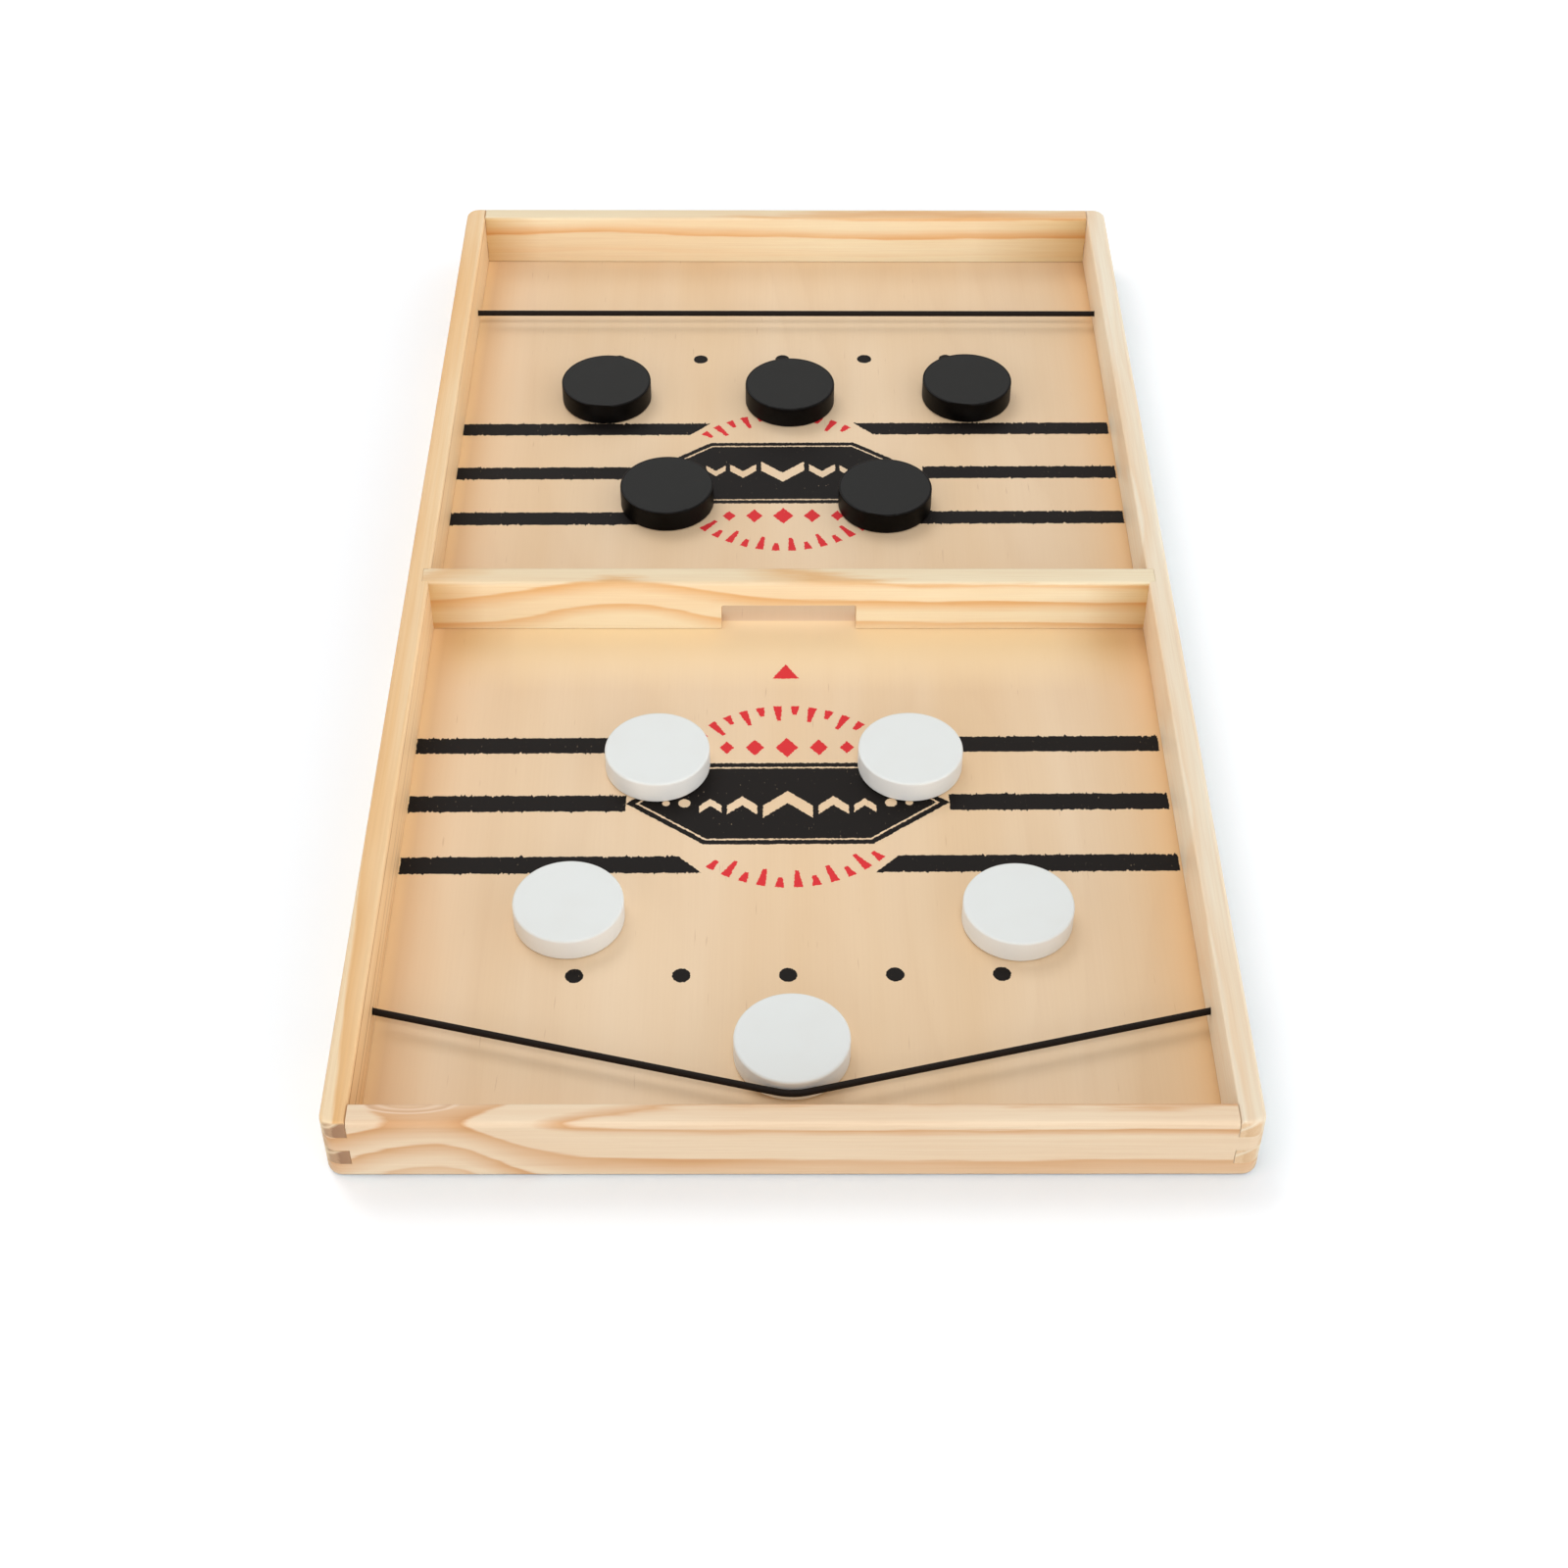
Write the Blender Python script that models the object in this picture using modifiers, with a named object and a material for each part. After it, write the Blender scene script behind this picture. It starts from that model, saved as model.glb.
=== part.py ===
# Sling puck game: a finger-jointed pine tray split by a divider with a gate, with an elastic sling
# across each end and five pucks a side. The near sling is drawn back in a V behind the fifth white puck.
# +X is to the player's right, +Y runs down the board to the other player, +Z is up.
# The origin is the middle of the board on the table.
import math

import bmesh
import bpy
from mathutils import Vector

# Sizes in metres.
BOARD_WIDTH = 0.310
BOARD_LENGTH = 0.560
FIT_GAP = 0.0003
CUT_OVERRUN = 0.002

RAIL_THICKNESS = 0.009
RAIL_HEIGHT = 0.028
RAIL_CORNER_RADIUS = 0.0055
RAIL_TOP_ROUND = 0.002
RAIL_BOTTOM_ROUND = 0.002
RAIL_INNER_ROUND = 0.0012
FINGER_LAYERS = 4

BASE_THICKNESS = 0.0035
BASE_LAP = 0.0042

PUCK_RADIUS = 0.02025
PUCK_HEIGHT = 0.0096
PUCK_EDGE_ROUND = 0.0009
PUCK_STEPS = 60

DIVIDER_THICKNESS = 0.0104
DIVIDER_LET_IN = 0.0027
DIVIDER_TOP_ROUND = 0.0018
GATE_SIDE_ROOM = 0.0145
GATE_HEAD_ROOM = 0.0029
GATE_CORNER_ROUND = 0.0008

CORD_DIAMETER = 0.0025
CORD_ABOVE_FLOOR = 0.0064
CORD_SETBACK = 0.0546
CORD_HOLE_CLEARANCE = 0.00035
KNOT_DIAMETER = 0.0066
KNOT_LENGTH = 0.0036
KNOT_CLEARANCE = 0.0008
KNOT_RECESS = 0.0005
KNOT_STEPS = 16
KNOT_RINGS = 10
DRAWN_PUCK_SETBACK = 0.04
WRAP_STEPS = 8
CORD_ROUND_STEPS = 2

ROUND_STEPS = 3
CORNER_STEPS = 5
HOLE_STEPS = 24
SHARP_ANGLE = math.radians(35)

# Where the pucks lie, as shares of the field's half width and half length.
WHITE_PLACE_SHARES = (
    (-0.350, -0.320),
    (0.319, -0.319),
    (-0.553, -0.616),
    (0.565, -0.620),
)
BLACK_PLACE_SHARES = (
    (-0.564, 0.578),
    (0.009, 0.570),
    (0.563, 0.583),
    (-0.359, 0.292),
    (0.289, 0.2865),
)

# Worked out from the sizes above.
FIELD_HALF_WIDTH = BOARD_WIDTH / 2 - RAIL_THICKNESS
FIELD_HALF_LENGTH = BOARD_LENGTH / 2 - RAIL_THICKNESS
FLOOR_TOP = BASE_THICKNESS
FINGER_HEIGHT = RAIL_HEIGHT / FINGER_LAYERS
GATE_WIDTH = 2 * PUCK_RADIUS + GATE_SIDE_ROOM
GATE_HEIGHT = PUCK_HEIGHT + GATE_HEAD_ROOM
CORD_RADIUS = CORD_DIAMETER / 2
CORD_LEVEL = FLOOR_TOP + CORD_ABOVE_FLOOR
CORD_LINE = FIELD_HALF_LENGTH - CORD_SETBACK
CORD_HOLE_RADIUS = CORD_RADIUS + CORD_HOLE_CLEARANCE
KNOT_POCKET_RADIUS = KNOT_DIAMETER / 2 + KNOT_CLEARANCE
KNOT_POCKET_DEPTH = KNOT_LENGTH + KNOT_RECESS + FIT_GAP
KNOT_POCKET_FLOOR = BOARD_WIDTH / 2 - KNOT_POCKET_DEPTH

# Each finish as its colour and its roughness.
PINE = ((0.80, 0.60, 0.36), 0.45)
PLYWOOD = ((0.78, 0.58, 0.37), 0.5)
BLACK_PAINT = ((0.012, 0.012, 0.013), 0.35)
WHITE_PAINT = ((0.80, 0.80, 0.78), 0.45)
BLACK_ELASTIC = ((0.010, 0.010, 0.011), 0.6)


def clear_scene():
    for old in list(bpy.data.objects):
        bpy.data.objects.remove(old, do_unlink=True)


def add_collection(name):
    collection = bpy.data.collections.new(name)
    bpy.context.scene.collection.children.link(collection)
    return collection


def add_material(name, finish):
    colour, roughness = finish
    material = bpy.data.materials.new(name)
    material.use_nodes = True
    shader = material.node_tree.nodes["Principled BSDF"]
    shader.inputs["Base Color"].default_value = (*colour, 1)
    shader.inputs["Roughness"].default_value = roughness
    shader.inputs["Metallic"].default_value = 0
    material.diffuse_color = (*colour, 1)
    return material


def add_object(name, data, place, collection, material=None):
    obj = bpy.data.objects.new(name, data)
    obj.location = place
    collection.objects.link(obj)
    if material and not data.materials:
        data.materials.append(material)
    return obj


def mesh_from(bm, name):
    bmesh.ops.recalc_face_normals(bm, faces=bm.faces)
    mesh = bpy.data.meshes.new(name)
    bm.to_mesh(mesh)
    bm.free()
    return mesh


def block(size):
    # A box centred on the origin, as an editable mesh.
    bm = bmesh.new()
    bmesh.ops.create_cube(bm, size=1)
    bmesh.ops.scale(bm, vec=size, verts=bm.verts)
    return bm


def round_edges(bm, wanted, radius, steps):
    edges = [edge for edge in bm.edges if wanted(*[corner.co for corner in edge.verts])]
    bmesh.ops.bevel(
        bm,
        geom=edges,
        offset=radius,
        offset_type="OFFSET",
        segments=steps,
        profile=0.5,
        affect="EDGES",
        clamp_overlap=False,
    )


def shade(obj):
    obj.data.shade_smooth()
    obj.data.set_sharp_from_angle(angle=SHARP_ANGLE)


def add_cutter(name, low, high):
    size = Vector(high) - Vector(low)
    cutter = add_object(name, mesh_from(block(size), name), (Vector(low) + Vector(high)) / 2, cutters)
    cutter.hide_render = True
    cutter.display_type = "WIRE"
    return cutter


def add_drill(name, radius, start, end):
    # A cylinder along X from start to end.
    bm = bmesh.new()
    bmesh.ops.create_cone(
        bm,
        cap_ends=True,
        segments=HOLE_STEPS,
        radius1=radius,
        radius2=radius,
        depth=abs(end[0] - start[0]),
    )
    drill = add_object(name, mesh_from(bm, name), (Vector(start) + Vector(end)) / 2, cutters)
    drill.rotation_euler = (0, math.pi / 2, 0)
    drill.hide_render = True
    drill.display_type = "WIRE"
    return drill


def cut(obj, *tools):
    for tool in tools:
        change = obj.modifiers.new(tool.name, "BOOLEAN")
        change.operation = "DIFFERENCE"
        change.solver = "EXACT"
        change.object = tool


def rail_mesh(name, size, along, outward):
    # A rail's bar: its outer corners round in plan, and its long edges sanded round.
    # along and outward are the axes, 0 or 1, and outward's sign is the side that faces out.
    bm = block(size)
    axis, side = outward
    outer = side * size[axis] / 2
    top = size[2] / 2

    def faces_out(point):
        return abs(point[axis] - outer) < FIT_GAP

    def faces_in(point):
        return abs(point[axis] + outer) < FIT_GAP

    def upright(a, b):
        return faces_out(a) and faces_out(b) and abs(a.z - b.z) > FIT_GAP

    def level(a, b, height):
        return abs(a.z - height) < FIT_GAP and abs(b.z - height) < FIT_GAP

    def runs_inside(a, b):
        return faces_in(a) and faces_in(b) and abs(a[along] - b[along]) > FIT_GAP

    round_edges(bm, upright, RAIL_CORNER_RADIUS, CORNER_STEPS)
    round_edges(bm, lambda a, b: level(a, b, top) and not runs_inside(a, b), RAIL_TOP_ROUND, ROUND_STEPS)
    round_edges(bm, lambda a, b: level(a, b, -top) and not runs_inside(a, b), RAIL_BOTTOM_ROUND, ROUND_STEPS)
    round_edges(bm, lambda a, b: level(a, b, top) and runs_inside(a, b), RAIL_INNER_ROUND, ROUND_STEPS)
    return mesh_from(bm, name)


def finger_sockets(name, layers, low, high):
    # Cutters for the layers that the other rail's fingers fill, counted from the top. low and high are
    # the socket's corners in plan.
    sockets = []
    for layer in layers:
        ceiling = RAIL_HEIGHT - layer * FINGER_HEIGHT + FIT_GAP / 2
        ground = ceiling - FINGER_HEIGHT - FIT_GAP
        if layer == 0:
            ceiling = RAIL_HEIGHT + CUT_OVERRUN
        if layer == FINGER_LAYERS - 1:
            ground = -CUT_OVERRUN
        sockets.append(add_cutter(f"{name}_{layer}", (*low, ground), (*high, ceiling)))
    return sockets


def add_side_rail(name, side, pocket):
    size = (RAIL_THICKNESS, BOARD_LENGTH, RAIL_HEIGHT)
    mesh = rail_mesh(name, size, 1, (0, side))
    middle = side * (FIELD_HALF_WIDTH + RAIL_THICKNESS / 2)
    rail = add_object(name, mesh, (middle, 0, RAIL_HEIGHT / 2), board, pine)
    inner, outer = sorted((side * (FIELD_HALF_WIDTH - CUT_OVERRUN), side * (BOARD_WIDTH / 2 + CUT_OVERRUN)))
    for end, label in ((-1, "near"), (1, "far")):
        shoulder = end * (FIELD_HALF_LENGTH - FIT_GAP)
        past = end * (BOARD_LENGTH / 2 + CUT_OVERRUN)
        low_y, high_y = sorted((shoulder, past))
        layers = range(1, FINGER_LAYERS, 2)
        cut(rail, *finger_sockets(f"{name}_{label}_socket", layers, (inner, low_y), (outer, high_y)))
        line = end * CORD_LINE
        start = (side * (FIELD_HALF_WIDTH - CUT_OVERRUN), line, CORD_LEVEL)
        floor = (side * KNOT_POCKET_FLOOR, line, CORD_LEVEL)
        through = (side * (KNOT_POCKET_FLOOR + CUT_OVERRUN), line, CORD_LEVEL)
        outside = (side * (BOARD_WIDTH / 2 + CUT_OVERRUN), line, CORD_LEVEL)
        cut(
            rail,
            add_drill(f"{name}_{label}_pocket", KNOT_POCKET_RADIUS, floor, outside),
            add_drill(f"{name}_{label}_hole", CORD_HOLE_RADIUS, start, through),
        )
    depth = side * (FIELD_HALF_WIDTH + DIVIDER_LET_IN + FIT_GAP)
    low_x, high_x = sorted((side * (FIELD_HALF_WIDTH - CUT_OVERRUN), depth))
    half = DIVIDER_THICKNESS / 2 + FIT_GAP
    dado = add_cutter(f"{name}_dado", (low_x, -half, FLOOR_TOP), (high_x, half, RAIL_HEIGHT + CUT_OVERRUN))
    cut(rail, dado, pocket)
    shade(rail)


def add_end_rail(name, end, pocket):
    size = (BOARD_WIDTH, RAIL_THICKNESS, RAIL_HEIGHT)
    mesh = rail_mesh(name, size, 0, (1, end))
    middle = end * (FIELD_HALF_LENGTH + RAIL_THICKNESS / 2)
    rail = add_object(name, mesh, (0, middle, RAIL_HEIGHT / 2), board, pine)
    inner, outer = sorted((end * (FIELD_HALF_LENGTH - CUT_OVERRUN), end * (BOARD_LENGTH / 2 + CUT_OVERRUN)))
    for side, label in ((-1, "left"), (1, "right")):
        shoulder = side * (FIELD_HALF_WIDTH - FIT_GAP)
        past = side * (BOARD_WIDTH / 2 + CUT_OVERRUN)
        low_x, high_x = sorted((shoulder, past))
        layers = range(0, FINGER_LAYERS, 2)
        cut(rail, *finger_sockets(f"{name}_{label}_socket", layers, (low_x, inner), (high_x, outer)))
    cut(rail, pocket)
    shade(rail)


def add_base(name):
    size = (2 * (FIELD_HALF_WIDTH + BASE_LAP), 2 * (FIELD_HALF_LENGTH + BASE_LAP), BASE_THICKNESS)
    add_object(name, mesh_from(block(size), name), (0, 0, BASE_THICKNESS / 2), board, plywood)


def base_pocket():
    # The rabbet that the base fills, cut from all four rails at once.
    reach_x = FIELD_HALF_WIDTH + BASE_LAP + FIT_GAP
    reach_y = FIELD_HALF_LENGTH + BASE_LAP + FIT_GAP
    ceiling = FLOOR_TOP + FIT_GAP
    return add_cutter("base_pocket", (-reach_x, -reach_y, -CUT_OVERRUN), (reach_x, reach_y, ceiling))


def add_divider(name):
    foot = FLOOR_TOP + FIT_GAP
    height = RAIL_HEIGHT - foot
    bm = block((2 * (FIELD_HALF_WIDTH + DIVIDER_LET_IN), DIVIDER_THICKNESS, height))
    top = height / 2

    def long_top(a, b):
        return min(a.z, b.z) > top - FIT_GAP and abs(a.x - b.x) > FIT_GAP

    round_edges(bm, long_top, DIVIDER_TOP_ROUND, ROUND_STEPS)
    divider = add_object(name, mesh_from(bm, name), (0, 0, foot + height / 2), board, pine)
    gate = block((GATE_WIDTH, DIVIDER_THICKNESS + 2 * CUT_OVERRUN, GATE_HEIGHT + CUT_OVERRUN))

    def upper_corner(a, b):
        return min(a.z, b.z) > 0 and abs(a.y - b.y) > FIT_GAP

    round_edges(gate, upper_corner, GATE_CORNER_ROUND, ROUND_STEPS)
    middle = FLOOR_TOP + (GATE_HEIGHT - CUT_OVERRUN) / 2
    opening = add_object("gate_cutter", mesh_from(gate, "gate_cutter"), (0, 0, middle), cutters)
    opening.hide_render = True
    opening.display_type = "WIRE"
    cut(divider, opening)
    shade(divider)


def puck_profile():
    # Half a puck's outline from the top of its axis to the bottom, with rounded rims.
    points = [Vector((0, 0, PUCK_HEIGHT))]
    for rim, start in ((PUCK_HEIGHT - PUCK_EDGE_ROUND, math.pi / 2), (PUCK_EDGE_ROUND, 0)):
        for step in range(ROUND_STEPS + 1):
            angle = start - math.pi / 2 * step / ROUND_STEPS
            across = PUCK_RADIUS - PUCK_EDGE_ROUND + PUCK_EDGE_ROUND * math.cos(angle)
            points.append(Vector((across, 0, rim + PUCK_EDGE_ROUND * math.sin(angle))))
    points.append(Vector((0, 0, 0)))
    return points


def puck_mesh(name, material):
    points = puck_profile()
    mesh = bpy.data.meshes.new(name)
    mesh.from_pydata(points, [(i, i + 1) for i in range(len(points) - 1)], [])
    mesh.materials.append(material)
    return mesh


def add_puck(name, mesh, place):
    puck = add_object(name, mesh, (*place, FLOOR_TOP + FIT_GAP), board)
    turn = puck.modifiers.new("turn", "SCREW")
    turn.axis = "Z"
    turn.steps = PUCK_STEPS
    turn.render_steps = PUCK_STEPS
    turn.use_merge_vertices = True
    turn.merge_threshold = FIT_GAP / 10
    turn.use_smooth_shade = True
    return puck


def field_place(share):
    return (share[0] * FIELD_HALF_WIDTH, share[1] * FIELD_HALF_LENGTH)


def drawn_place():
    return (0, DRAWN_PUCK_SETBACK - FIELD_HALF_LENGTH)


def drawn_route():
    # From the left knot's pocket straight to the wrap round the back of the drawn puck, and on to the right.
    centre = Vector(drawn_place())
    wrap = PUCK_RADIUS + FIT_GAP + CORD_RADIUS
    mouth = Vector((-FIELD_HALF_WIDTH, -CORD_LINE))
    towards = centre - mouth
    slope = math.atan2(towards.y, towards.x) - math.asin(wrap / towards.length)
    left = [Vector((-KNOT_POCKET_FLOOR, -CORD_LINE)), mouth]
    around = []
    for step in range(WRAP_STEPS + 1):
        angle = -math.pi / 2 + slope * (1 - 2 * step / WRAP_STEPS)
        around.append(centre + wrap * Vector((math.cos(angle), math.sin(angle))))
    right = [Vector((-point.x, point.y)) for point in reversed(left)]
    return left + around + right


def straight_route():
    ends = (-KNOT_POCKET_FLOOR, -FIELD_HALF_WIDTH, FIELD_HALF_WIDTH, KNOT_POCKET_FLOOR)
    return [Vector((x, CORD_LINE)) for x in ends]


def add_sling(name, route, line):
    curve = bpy.data.curves.new(name, "CURVE")
    curve.dimensions = "3D"
    curve.bevel_depth = CORD_RADIUS
    curve.bevel_resolution = CORD_ROUND_STEPS
    curve.use_fill_caps = True
    spline = curve.splines.new("POLY")
    spline.points.add(len(route) - 1)
    for point, place in zip(spline.points, route):
        point.co = (place.x, place.y - line, 0, 1)
    add_object(name, curve, (0, line, CORD_LEVEL), board, elastic)


def add_knot(name, side, line):
    bm = bmesh.new()
    bmesh.ops.create_uvsphere(bm, u_segments=KNOT_STEPS, v_segments=KNOT_RINGS, radius=KNOT_DIAMETER / 2)
    bmesh.ops.scale(bm, vec=(KNOT_LENGTH / KNOT_DIAMETER, 1, 1), verts=bm.verts)
    middle = side * (KNOT_POCKET_FLOOR + FIT_GAP + KNOT_LENGTH / 2)
    knot = add_object(name, mesh_from(bm, name), (middle, line, CORD_LEVEL), board, elastic)
    knot.data.shade_smooth()


clear_scene()
board = add_collection("sling_puck_game")
cutters = add_collection("cutters")
pine = add_material("pine", PINE)
plywood = add_material("plywood", PLYWOOD)
white_paint = add_material("white_paint", WHITE_PAINT)
black_paint = add_material("black_paint", BLACK_PAINT)
elastic = add_material("elastic", BLACK_ELASTIC)

rabbet = base_pocket()
add_side_rail("left_side_rail", -1, rabbet)
add_side_rail("right_side_rail", 1, rabbet)
add_end_rail("near_end_rail", -1, rabbet)
add_end_rail("far_end_rail", 1, rabbet)
add_base("base_board")
add_divider("centre_divider")

add_sling("near_sling", drawn_route(), -CORD_LINE)
add_sling("far_sling", straight_route(), CORD_LINE)
for label, line in (("near", -CORD_LINE), ("far", CORD_LINE)):
    add_knot(f"{label}_left_knot", -1, line)
    add_knot(f"{label}_right_knot", 1, line)

white_mesh = puck_mesh("white_puck", white_paint)
black_mesh = puck_mesh("black_puck", black_paint)
white_places = [field_place(share) for share in WHITE_PLACE_SHARES] + [drawn_place()]
black_places = [field_place(share) for share in BLACK_PLACE_SHARES]
for number, place in enumerate(white_places, 1):
    add_puck(f"white_puck_{number}", white_mesh, place)
for number, place in enumerate(black_places, 1):
    add_puck(f"black_puck_{number}", black_mesh, place)
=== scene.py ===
import math
import random

import bmesh
import bpy
from mathutils import Matrix, Vector


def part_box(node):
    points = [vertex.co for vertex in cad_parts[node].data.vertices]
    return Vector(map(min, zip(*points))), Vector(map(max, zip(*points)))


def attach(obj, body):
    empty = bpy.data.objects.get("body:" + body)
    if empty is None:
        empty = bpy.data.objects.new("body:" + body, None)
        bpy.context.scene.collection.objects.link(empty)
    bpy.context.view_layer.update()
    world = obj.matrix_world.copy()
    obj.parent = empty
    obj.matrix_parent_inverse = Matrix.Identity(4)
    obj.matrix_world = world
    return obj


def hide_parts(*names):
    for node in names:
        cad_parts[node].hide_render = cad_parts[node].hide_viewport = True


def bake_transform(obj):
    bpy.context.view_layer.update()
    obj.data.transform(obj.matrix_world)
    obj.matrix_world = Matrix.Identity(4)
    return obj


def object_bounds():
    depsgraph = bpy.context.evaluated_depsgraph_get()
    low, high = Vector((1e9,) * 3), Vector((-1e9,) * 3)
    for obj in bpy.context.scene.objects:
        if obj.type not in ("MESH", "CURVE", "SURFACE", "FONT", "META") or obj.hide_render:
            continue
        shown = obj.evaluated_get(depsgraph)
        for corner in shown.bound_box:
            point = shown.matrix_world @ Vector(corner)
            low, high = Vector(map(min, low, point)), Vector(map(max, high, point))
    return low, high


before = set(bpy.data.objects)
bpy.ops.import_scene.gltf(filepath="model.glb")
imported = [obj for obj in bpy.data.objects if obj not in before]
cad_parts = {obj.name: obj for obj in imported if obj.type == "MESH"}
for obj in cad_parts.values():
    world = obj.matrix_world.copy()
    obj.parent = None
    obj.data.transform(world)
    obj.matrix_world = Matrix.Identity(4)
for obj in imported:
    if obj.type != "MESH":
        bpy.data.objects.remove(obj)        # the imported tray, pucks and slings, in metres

# A sling puck game board in pine and plywood. +X is to the near player's right, +Y runs down the board to
# the far player, +Z is up, and the board stands on z = 0. Sizes here are in metres unless a name says mm.

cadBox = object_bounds()
mm = 0.001
fieldCorner = Vector((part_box("right_side_rail")[0].x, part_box("far_end_rail")[0].y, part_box("base_board")[1].z))
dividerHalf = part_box("centre_divider")[1].y
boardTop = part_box("centre_divider")[1].z


# Small helpers

def addNode(tree, kind, inputs=None, **settings):
    node = tree.nodes.new("ShaderNode" + kind)
    for key, value in settings.items():
        setattr(node, key, value)
    for key, value in (inputs or {}).items():
        if isinstance(value, bpy.types.NodeSocket):
            tree.links.new(value, node.inputs[key])
        else:
            node.inputs[key].default_value = value
    return node


def joined(kind, inputs, **settings):
    # A node in the tree that its inputs come from.
    tree = next(value.id_data for value in inputs.values() if isinstance(value, bpy.types.NodeSocket))
    return addNode(tree, kind, inputs, **settings).outputs


def maths(operation, *values):
    return joined("Math", dict(enumerate(values)), operation=operation)[0]


def times(first, second):
    return maths("MULTIPLY", first, second)


def plus(first, second):
    return maths("ADD", first, second)


def minus(first, second):
    return maths("SUBTRACT", first, second)


def mix(factor, first, second, blend="MIX"):
    return joined("Mix", {0: factor, 6: first, 7: second}, data_type="RGBA", blend_type=blend)[2]


def noise(vector, scale, detail=2.0, roughness=0.5):
    inputs = {"Vector": vector, "Scale": scale, "Detail": detail, "Roughness": roughness}
    return joined("TexNoise", inputs)["Fac"]


def swing(level, reach):
    # A stray of about reach either way: noise seldom leaves the middle half of its range.
    return times(minus(level, 0.5), 4 * reach)


def grain(place, scale, shift=(0, 0, 0), detail=1.0, roughness=0.5):
    vector = joined("Mapping", {"Vector": place, "Scale": scale, "Location": shift})[0]
    return noise(vector, 1.0, detail, roughness)


def ramp(value, stops):
    # Straight lines between stops, each a position from 0 to 1 and a level.
    node = addNode(value.id_data, "ValToRGB", {0: value})
    elements = node.color_ramp.elements
    elements.remove(elements[1])
    for index, (position, level) in enumerate(stops):
        element = elements.new(position) if index else elements[0]
        element.position = position
        element.color = (level, level, level, 1)
    return node.outputs["Color"]


def fromTo(value, low, high, newLow=0.0, newHigh=1.0):
    inputs = {"Value": value, "From Min": low, "From Max": high, "To Min": newLow, "To Max": newHigh}
    return joined("MapRange", inputs, clamp=True)[0]


def newMaterial(name):
    material = bpy.data.materials.new(name)
    material.use_nodes = True
    tree = material.node_tree
    return material, tree, tree.nodes["Principled BSDF"]


def faceNormal(tree):
    return joined("SeparateXYZ", {0: addNode(tree, "TexCoord").outputs["Normal"]})


def finishShader(tree, shader, look, colour, height):
    # What every surface here has. bump is how strong its relief is, and bumpMm how deep.
    tree.links.new(colour, shader.inputs["Base Color"])
    shader.inputs["Roughness"].default_value = look["roughness"]
    shader.inputs["Specular IOR Level"].default_value = look["specular"]
    inputs = {"Height": height, "Strength": look["bump"], "Distance": look["bumpMm"] * mm}
    tree.links.new(joined("Bump", inputs)[0], shader.inputs["Normal"])


def linear(red, green, blue):
    # A colour as it shows on a screen, 0 to 255, as the shader takes it.
    channels = []
    for value in (red / 255, green / 255, blue / 255):
        channels.append(value / 12.92 if value <= 0.04045 else ((value + 0.055) / 1.055) ** 2.4)
    return (*channels, 1)


def newPiece(name, mesh, body, slot, material, *nodes):
    piece = bpy.data.objects.new(name, mesh)
    bpy.context.scene.collection.objects.link(piece)
    mesh.materials.clear()
    mesh.materials.append(material)
    if body:
        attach(piece, body)
    if nodes:
        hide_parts(*nodes)
    return piece


def finishMesh(bm, name, sharpDegrees=35):
    bmesh.ops.recalc_face_normals(bm, faces=bm.faces)
    mesh = bpy.data.meshes.new(name)
    bm.to_mesh(mesh)
    bm.free()
    mesh.shade_smooth()
    mesh.set_sharp_from_angle(angle=math.radians(sharpDegrees))
    return mesh


# Camera, light and floor

cameraLook = {
    "place": (-0.0072, -0.7758, 0.6669),
    "lensMm": 56.58,
    "sensorMm": 36,
    "tiltDownDegrees": 44.32,
    "turnDegrees": 0.417,
    "rollDegrees": 0.297,
    "clip": (0.01, 50),
}

studio = {
    "skyOverhead": 0.24,
    "skyHorizon": 2.6,         # added to the sky at the horizon, and fading out upwards
    # How much that grows to the right and away from the camera. It is brightest in front.
    "skyTowards": (0.25, -0.5),
    "lamps": {
        # How strong, how wide its disc looks, and its lean towards the back and the left, in degrees.
        "frontLamp": {"strength": 0.58, "wide": 15, "lean": (-25, -3)},
        "backLamp": {"strength": 0.68, "wide": 32, "lean": (34, 21)},
    },
    "floorShade": 0.2,
    "floorSeen": (1.10, 1.125, 1.155, 1),
    # The soft shadow by the board: how far it reaches, the side the light comes from, how little of the
    # light is left where it is deepest and where it ends, and its colour.
    "contactReach": 0.035,
    "contactTowards": (-0.55, 0.3, 0.7),
    "contactOpen": (0.35, 0.8),
    "contactColour": (0.865, 0.945, 1.015, 1),
    "contactSamples": 16,
    "floorSize": 8.0,
    "floorDrop": 0.0002,       # below the board, so that the two never meet
}


def makeCamera(look):
    camera = bpy.data.objects.new("camera", bpy.data.cameras.new("camera"))
    camera.data.lens = look["lensMm"]
    camera.data.sensor_width = look["sensorMm"]
    camera.data.clip_start, camera.data.clip_end = look["clip"]
    turn = Matrix.Rotation(-math.radians(look["turnDegrees"]), 3, "Z")
    tilt = Matrix.Rotation(math.radians(90 - look["tiltDownDegrees"]), 3, "X")
    roll = Matrix.Rotation(math.radians(look["rollDegrees"]), 3, "Z")
    camera.rotation_euler = (turn @ tilt @ roll).to_euler()
    camera.location = look["place"]
    bpy.context.scene.collection.objects.link(camera)
    bpy.context.scene.camera = camera


def seenWhite(tree):
    # 1 where the camera, a reflection or clear glass looks at the backdrop, 0 for the light it throws.
    path = addNode(tree, "LightPath")
    direct = maths("MAXIMUM", path.outputs["Is Camera Ray"], path.outputs["Is Glossy Ray"])
    return maths("MAXIMUM", direct, path.outputs["Is Transmission Ray"])


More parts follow.
